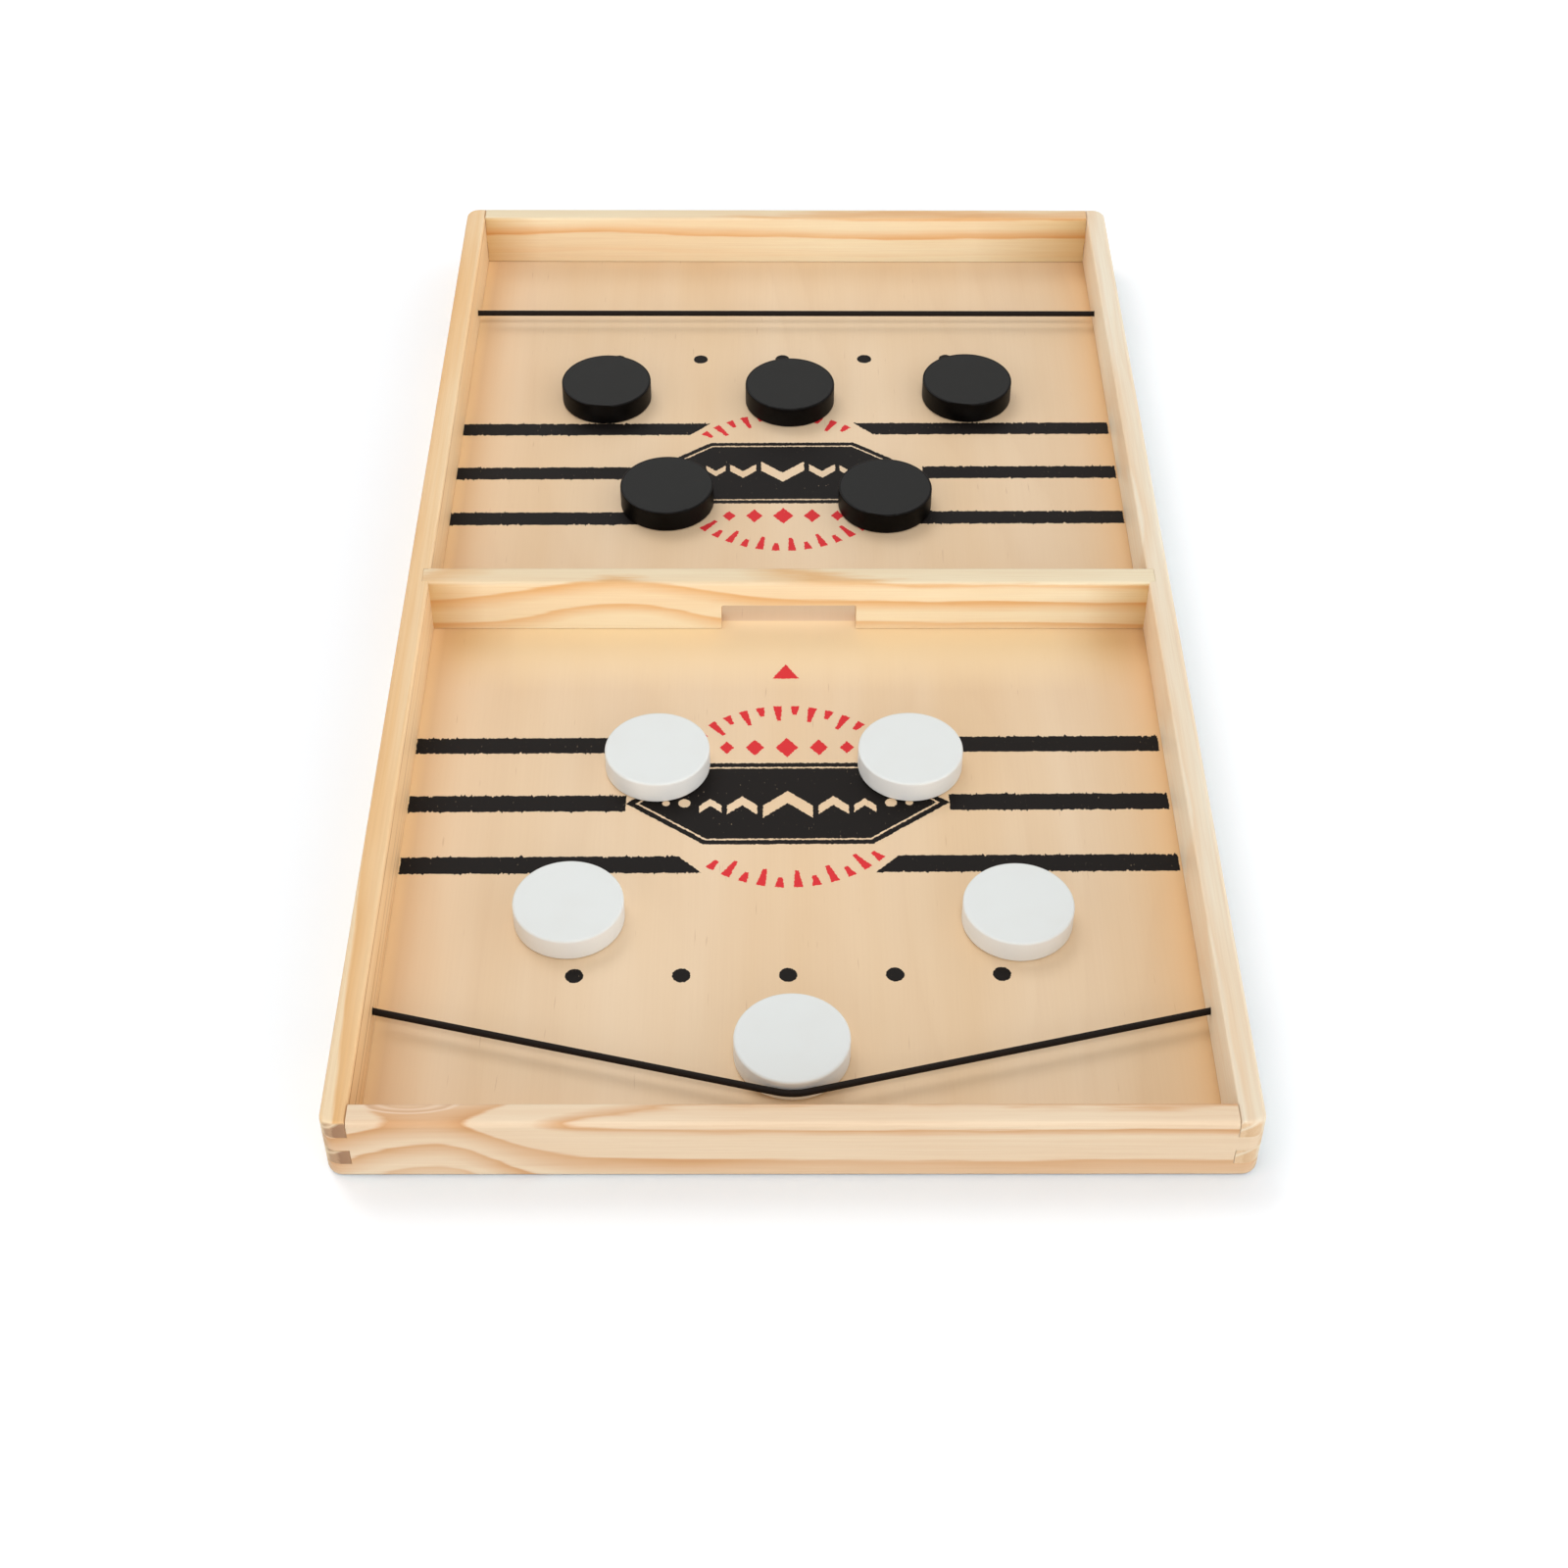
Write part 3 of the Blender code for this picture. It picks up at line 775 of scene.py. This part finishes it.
def badgeOutline(look, inset):
    # A long lozenge with its top and bottom cut flat.
    half = look["badgeHalfMm"] - inset
    reach = badgeEdge(look, look["badgeMiddleMm"], -inset)
    flat = reach - half * badgeSlope(look)
    corners = ((reach, 0), (flat, half), (-flat, half), (-reach, 0), (-flat, -half), (flat, -half))
    return [(across, look["badgeMiddleMm"] + away) for across, away in corners]


def chevron(across, away, wide, high, thick):
    # Points to the gate, which lies at a smaller distance.
    left, right = across - wide / 2, across + wide / 2
    tip, foot = away - high / 2, away + high / 2
    return [(left, foot), (across, tip), (right, foot),
            (right, foot + thick), (across, tip + thick), (left, foot + thick)]


def circle(across, away, radius, steps):
    turns = [2 * math.pi * step / steps for step in range(steps)]
    return [(across + radius * math.cos(turn), away + radius * math.sin(turn)) for turn in turns]


def sunEdge(look, away):
    # How far to the side the sun's rim, with its gap, stands at this distance from the gate.
    rim = look["sunLongMm"][1] + look["badgeGapMm"]
    return math.sqrt(max(rim ** 2 - (away - look["sunMiddleMm"]) ** 2, 0))


def stripeOutlines(look, half, ends):
    outlines = []
    for row in look["stripeRowsMm"]:
        edges = [row + share * look["stripeWideMm"] for share in (-0.5, 0.5)]
        inner = [max(badgeEdge(look, away, look["badgeGapMm"]), sunEdge(look, away)) for away in edges]
        for side, end in zip((half, -half), ends):
            outlines.append([(side * inner[0], edges[0]), (side * end, edges[0]),
                             (side * end, edges[1]), (side * inner[1], edges[1])])
    return outlines


def badgeOutlines(look):
    middle = look["badgeMiddleMm"]
    outlines = [badgeOutline(look, inset) for inset in look["badgeInsetsMm"]]
    away, *size = look["chevronMm"]
    outlines.append(chevron(0, middle + away, *size))
    for side in (-1, 1):
        for aside, away, *size in look["chevronsMm"]:
            outlines.append(chevron(side * aside, middle + away, *size))
        for aside, radius, steps in look["beadsMm"]:
            outlines.append(circle(side * aside, middle, radius, steps))
    return outlines


def clearOfBadge(look, points):
    middle, gap = look["badgeMiddleMm"], look["badgeGapMm"]
    end = look["badgeHalfMm"] + gap / 2
    return all(abs(across) > badgeEdge(look, away, gap) or abs(away - middle) > end
               for across, away in points)


def sunOutlines(look):
    # Tapered rays in a ring, long and short in turn, left out where the badge covers them, and a row of gems.
    outlines = []
    for ray in range(look["sunRays"]):
        inner, outer = look["sunShortMm"] if ray % 2 else look["sunLongMm"]
        turn = 2 * math.pi * (ray + 0.5) / look["sunRays"]
        width = math.pi / look["sunRays"] * look["sunShare"]
        places = ((inner, -width / 2), (outer, -width), (outer, width), (inner, width / 2))
        points = [(reach * math.cos(turn + lean), look["sunMiddleMm"] + reach * math.sin(turn + lean))
                  for reach, lean in places]
        if clearOfBadge(look, points):
            outlines.append(points)
    row = look["gemRowMm"]
    for aside, high in look["gemsMm"]:
        for side in (-1, 1) if aside else (1,):
            across, half = side * aside, high / 2
            wide = look["gemWidth"] * half
            outlines.append([(across + wide, row), (across, row + half),
                             (across - wide, row), (across, row - half)])
    return outlines


def printFloor(look):
    black = inkMaterial("black ink", look["black"], look)
    red = inkMaterial("red ink", look["red"], look)
    places = [look["dotAsideMm"] + step * look["dotStepMm"] for step in range(-2, 3)]
    dots = [circle(across, look["dotRowMm"], look["dotWideMm"] / 2, look["dotSteps"]) for across in places]
    arrow = [(0, look["arrowTipMm"]), (look["arrowWideMm"] / 2, look["arrowFootMm"]),
             (-look["arrowWideMm"] / 2, look["arrowFootMm"])]
    for half, side in ((-1, "near"), (1, "far")):
        stripes = stripeOutlines(look, half, look["stripeEndsMm"][side])
        printed(side + "_stripes", stripes, half, black, look)
        printed(side + "_dots", dots, half, black, look)
        printed(side + "_arrow", [arrow], half, red, look)
        printed(side + "_badge", badgeOutlines(look), half, black, look)
        printed(side + "_sun", sunOutlines(look), half, red, look)


printFloor(printLook)
print("the floor is printed")


# Elastic slings

slingLook = {
    "widthMm": 2.5,
    "sides": 20,
    "stepMm": 1.0,
    "colour": linear(18, 11, 7),
    "threadColour": linear(40, 30, 23),
    "threadShare": 0.5,        # how much of that shows
    "threadsRound": 6.0,
    "threadsPerMm": 1.1,
    "roughness": 0.7,
    "specular": 0.15,
    "bump": 0.5,
    "bumpMm": 0.1,
    "wrapSteps": 10,
    "straightMm": 4,           # half of the middle piece of a straight sling
    # Shares of the way from the rail to the middle at which a sling is cut into pieces, so that each
    # piece's own bend stays close to a straight line when the sling is drawn.
    "cutShares": (0.0, 0.05, 0.2, 0.5, 0.8, 0.95, 1.0),
}


def elasticMaterial(look):
    # Threads cross in two directions. U of the map runs once round the cord, and V along it in mm.
    material, tree, shader = newMaterial("covered elastic")
    cord = addNode(tree, "UVMap", uv_map="cord").outputs["UV"]
    axes = joined("SeparateXYZ", {0: cord})
    crossings = []
    for lean in (-1, 1):
        slant = plus(times(axes["Y"], look["threadsPerMm"] * lean), times(axes["X"], look["threadsRound"]))
        crossings.append(maths("ABSOLUTE", maths("SINE", times(slant, math.pi))))
    weave = times(*crossings)
    shown = times(weave, look["threadShare"])
    finishShader(tree, shader, look, mix(shown, look["colour"], look["threadColour"]), weave)
    return material


def tube(name, points, radius, sides, start=0.0):
    # A closed round tube along points, with its sides and length written to the map that the weave reads.
    bm = bmesh.new()
    uvMap = bm.loops.layers.uv.new("cord")
    lengths = [start]
    rings = []
    lastAcross = None
    for index, point in enumerate(points):
        before, after = points[max(index - 1, 0)], points[min(index + 1, len(points) - 1)]
        along = (after - before).normalized()
        if lastAcross is None:
            across = Vector((0, 0, 1)).cross(along)
        else:
            across = lastAcross - lastAcross.dot(along) * along
        if across.length < 0.01:
            across = Vector((0, 1, 0))
        across.normalize()
        lastAcross = across
        upward = along.cross(across)
        ring = []
        for side in range(sides):
            turn = 2 * math.pi * side / sides
            ring.append(bm.verts.new(point + radius * (math.cos(turn) * across + math.sin(turn) * upward)))
        rings.append(ring)
        if index:
            lengths.append(lengths[-1] + (point - points[index - 1]).length / mm)
    for index in range(len(rings) - 1):
        for side in range(sides):
            nextSide = (side + 1) % sides
            face = bm.faces.new((rings[index][side], rings[index][nextSide],
                                 rings[index + 1][nextSide], rings[index + 1][side]))
            places = ((side, index), (side + 1, index), (side + 1, index + 1), (side, index + 1))
            for loop, (turn, row) in zip(face.loops, places):
                loop[uvMap].uv = (turn / sides, lengths[row])
    bm.faces.new(list(reversed(rings[0])))
    bm.faces.new(rings[-1])
    return finishMesh(bm, name, 50)


def makeSling(name, line, wrapCentre, wrapRadius, look, material):
    # line is where the sling leaves the rails, and it runs round the back of wrapCentre, or straight across.
    low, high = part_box(name)
    level = (low.z + high.z) / 2
    radius, sides = look["widthMm"] * mm / 2, look["sides"]
    mouth = Vector((fieldCorner.x, line, level))
    if wrapCentre:
        centre = Vector((*wrapCentre, level))
        gap = centre - mouth
        slope = math.atan2(-gap.y, -gap.x) + math.asin(wrapRadius / gap.length)
        steps = look["wrapSteps"]
        turns = [-math.pi / 2 + slope * (1 - 2 * step / steps) for step in range(steps + 1)]
        wrap = [centre + wrapRadius * Vector((math.cos(turn), math.sin(turn), 0)) for turn in turns]
    else:
        wrap = [Vector((side * look["straightMm"] * mm, line, level)) for side in (1, 0, -1)]
    mesh = tube(name + "_middle", wrap, radius, sides)
    newPiece(name + "_middle", mesh, name, "elastic_cord", material, name)
    cuts = look["cutShares"]
    for side, label in ((1, "right"), (-1, "left")):
        apex = wrap[0] if side == 1 else wrap[-1]
        edge = Vector((side * mouth.x, mouth.y, mouth.z))
        length = (apex - edge).length
        endName = f"{name}_{label}_end"
        mesh = tube(endName, [Vector((side * high.x, line, level)), edge], radius, sides)
        newPiece(endName, mesh, "frame", "elastic_cord", material)
        for index, (first, last) in enumerate(zip(cuts, cuts[1:])):
            count = max(2, round(length * (last - first) / mm / look["stepMm"]))
            points = [edge.lerp(apex, first + (last - first) * step / count) for step in range(count + 1)]
            pieceName = f"{name}_{label}_{index + 1}"
            mesh = tube(pieceName, points, radius, sides, length * first / mm)
            piece = newPiece(pieceName, mesh, None, "elastic_cord", material)
            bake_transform(piece)


def makeSlings(look):
    material = elasticMaterial(look)
    puckLow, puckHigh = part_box("white_puck_5")
    wrapCentre = ((puckLow.x + puckHigh.x) / 2, (puckLow.y + puckHigh.y) / 2)
    nearLow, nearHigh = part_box("near_sling")
    farLow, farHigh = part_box("far_sling")
    radius = look["widthMm"] * mm / 2
    wrapRadius = wrapCentre[1] - (nearLow.y + radius)
    makeSling("near_sling", nearHigh.y - radius, wrapCentre, wrapRadius, look, material)
    makeSling("far_sling", (farLow.y + farHigh.y) / 2, None, 0, look, material)
    return material


elastic = makeSlings(slingLook)
print("slings are strung")


# Knots

knotLook = {
    "strandMm": 1.8,
    "sizeMm": 0.8,
    "flat": 1.15,
    "steps": 120,
    "sides": 14,
    "open": (0.03, 0.94),      # where round the trefoil the strand starts, and how much of it there is
}


def makeKnot(name, material, look):
    # An overhand knot pulled tight in its pocket: a trefoil that lies open over a short gap.
    low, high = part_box(name)
    centre = (low + high) / 2
    outward = 1 if centre.x > 0 else -1
    start, share = look["open"]
    points = []
    for step in range(look["steps"] + 1):
        turn = 2 * math.pi * (start + share * step / look["steps"])
        across = (math.sin(turn) + 2 * math.sin(2 * turn)) * look["sizeMm"] * mm
        upward = (math.cos(turn) - 2 * math.cos(2 * turn)) * look["sizeMm"] * mm
        deep = -math.sin(3 * turn) * look["sizeMm"] * look["flat"] * mm
        points.append(centre + Vector((outward * deep, across, upward)))
    mesh = tube(name + "_loops", points, look["strandMm"] * mm / 2, look["sides"])
    newPiece(name + "_loops", mesh, "frame", "elastic_cord", material, name)


for end in ("near", "far"):
    for side in ("left", "right"):
        makeKnot(f"{end}_{side}_knot", elastic, knotLook)
print("knots are tied")


# Pucks

puckLooks = {
    # face is painted lighter than side, a painted sheen on the faces; worn is patchy wear.
    "white": {
        "face": linear(228, 231, 229), "side": linear(226, 227, 225), "worn": linear(222, 221, 216),
        "edge": linear(228, 231, 229), "edgeRoughness": 0.4,
        "roughness": 0.45, "specular": 0.25, "rimMm": 0.9,
    },
    "black": {
        "face": linear(36, 36, 35), "side": linear(3, 2, 2), "worn": linear(44, 43, 42),
        # edge is a painted shade on the rim's rounding.
        "edge": linear(9, 7, 6), "edgeRoughness": 0.25,
        "roughness": 0.46, "specular": 0.09, "rimMm": 0.5,
    },
}
paintLook = {
    "bump": 0.12,
    "bumpMm": 0.05,
    "paintedRimShadeShares": (0.95, 0.962),  # of the way out, where the painted shade on the rim starts and is full
}
puckShape = {
    "sides": 160,
    "faceShares": (0.0, 0.4, 0.75),  # of the radius, where a face has its rings, with two more by the rim
    "bandMm": 2.2,
    "bandGapMm": 0.5,
    "rimSteps": 5,
    "sideShares": (0.6, 0.3),
    "wobbleMm": 0.05,
    "flatReachMm": 5.0,        # how far down the side a worn flat fades out
    "nickReachMm": 0.9,        # and a nick, and how far in over the face
    "nickInMm": 1.2,
    "nickDrop": 0.7,           # how far down a nick goes for its depth
}

# Wear on the upper rims of the black pucks. Each flat is its direction in degrees, counted from the right,
# and its depth in mm. Each nick has its width too.
puckWear = {
    "black_puck_1": {"flats": ((-96, 0.9),), "nicks": ((-104, 1.4, 0.2), (-82, 1.6, 0.2))},
    "black_puck_2": {"flats": (), "nicks": ((-120, 1.6, 0.3), (-99, 1.2, 0.35),
                                            (-74, 1.4, 0.25), (-58, 1.6, 0.3))},
    "black_puck_3": {"flats": ((-101, 0.8),), "nicks": ((-74, 1.0, 0.5), (-66, 0.9, 0.4))},
    "black_puck_4": {"flats": (), "nicks": ((-63, 1.5, 0.55), (-71, 0.8, 0.3), (-128, 1.6, 0.25))},
    "black_puck_5": {"flats": ((-104, 0.6),), "nicks": ((-116, 0.9, 0.4), (-79, 1.0, 0.5), (-68, 0.9, 0.4))},
}


def paintMaterial(name, look):
    # Sprayed paint with very fine orange peel, and patches of wear. The faces take a lighter colour than the sides,
    # a painted sheen, and the black rim is a painted shade.
    material, tree, shader = newMaterial(name)
    place = addNode(tree, "TexCoord").outputs["Object"]
    broad = noise(place, 70.0)
    fine = noise(place, 2600.0)
    # Painted sheen: the faces take a lighter colour than the sides.
    level = fromTo(maths("ABSOLUTE", faceNormal(tree)["Z"]), 0.3, 0.9)
    colour = mix(level, look["side"], look["face"])
    colour = mix(fromTo(broad, 0.45, 0.8, 0.0, 0.2), colour, look["worn"])
    # U of the map is 0 in the middle of a face and 1 at the side.
    disc = addNode(tree, "UVMap", uv_map="disc").outputs["UV"]
    outward = joined("SeparateXYZ", {0: disc})["X"]
    # Painted shade on the rounded rim round a face.
    edge = times(fromTo(outward, *look["paintedRimShadeShares"]), fromTo(level, 0.0, 0.3))
    finishShader(tree, shader, look, mix(edge, colour, look["edge"]), fine)
    rough = fromTo(broad, 0.3, 0.7, look["roughness"] - 0.03, look["roughness"] + 0.05)
    edgeGap = times(edge, look["edgeRoughness"] - look["roughness"])
    tree.links.new(plus(rough, edgeGap), shader.inputs["Roughness"])
    return material


def puckProfile(radius, half, look, shape):
    # Half a puck's outline, from the middle of its top to the middle of its bottom.
    rim = look["rimMm"] * mm
    arc = [math.pi / 2 * step / shape["rimSteps"] for step in range(shape["rimSteps"] + 1)]
    upper = [(radius * share, half) for share in shape["faceShares"]]
    upper += [(radius - shape["bandMm"] * mm, half), (radius - rim - shape["bandGapMm"] * mm, half)]
    upper += [(radius - rim + rim * math.sin(turn), half - rim + rim * math.cos(turn)) for turn in arc]
    upper += [(radius, half * share) for share in shape["sideShares"]]
    return upper + [(radius, 0)] + [(across, -height) for across, height in reversed(upper)]


def wornIn(turn, across, height, radius, half, wear, shape):
    # How far wear takes a point of the rim inward and down.
    inward, drop = 0.0, 0.0
    fade = max(0.0, 1 - (half - height) / (shape["flatReachMm"] * mm))
    for degrees, depth in wear["flats"]:
        chord = radius - depth * mm
        reach = chord / max(math.cos(turn - math.radians(degrees)), 0.1)
        inward = max(inward, (across - min(across, reach)) * fade)
    for degrees, wide, depth in wear["nicks"]:
        gap = (turn - math.radians(degrees) + math.pi) % (2 * math.pi) - math.pi
        bell = math.exp(-(2 * gap * radius / (wide * mm)) ** 2)
        below = max(0.0, 1 - (half - height) / (shape["nickReachMm"] * mm))
        edge = max(0.0, 1 - (radius - across) / (shape["nickInMm"] * mm))
        inward += bell * below * edge * depth * mm
        drop += bell * edge * below * depth * shape["nickDrop"] * mm
    return inward, drop


def makePuck(node, look, shape, material):
    low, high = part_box(node)
    centre = (low + high) / 2
    radius = (high.x - low.x) / 2
    half = (high.z - low.z) / 2
    dice = random.Random(node)
    phases = [dice.uniform(0, 2 * math.pi) for _ in range(3)]
    wear = puckWear.get(node, {"flats": (), "nicks": ()})
    bm = bmesh.new()
    uvMap = bm.loops.layers.uv.new("disc")
    rings = []
    outward = {}
    for across, height in puckProfile(radius, half, look, shape):
        if across == 0:
            rings.append([bm.verts.new(centre + Vector((0, 0, height)))])
            outward[rings[-1][0]] = 0.0
            continue
        ring = []
        for side in range(shape["sides"]):
            turn = 2 * math.pi * side / shape["sides"]
            wobble = sum(math.sin((index + 2) * turn + phase) for index, phase in enumerate(phases))
            uneven = shape["wobbleMm"] * mm * (wobble / 3 + 1) / 2 * across / radius
            inward, drop = wornIn(turn, across, height, radius, half, wear, shape)
            reach = across - uneven - inward
            offset = Vector((reach * math.cos(turn), reach * math.sin(turn), height - drop))
            ring.append(bm.verts.new(centre + offset))
        rings.append(ring)
        outward.update((corner, across / radius) for corner in ring)
    for above, below in zip(rings, rings[1:]):
        for side in range(shape["sides"]):
            nextSide = (side + 1) % shape["sides"]
            if len(above) == 1:
                bm.faces.new((above[0], below[side], below[nextSide]))
            elif len(below) == 1:
                bm.faces.new((above[nextSide], above[side], below[0]))
            else:
                bm.faces.new((above[side], below[side], below[nextSide], above[nextSide]))
    for face in bm.faces:
        for loop in face.loops:
            loop[uvMap].uv = (outward[loop.vert], 0.5)
    mesh = finishMesh(bm, node + "_disc", 60)
    newPiece(node + "_disc", mesh, node, node.split("_")[0] + "_pucks", material, node)


for shade, look in puckLooks.items():
    paint = paintMaterial(shade + " paint", {**paintLook, **look})
    for number in range(1, 6):
        makePuck(f"{shade}_puck_{number}", look, puckShape, paint)
print("pucks are turned")
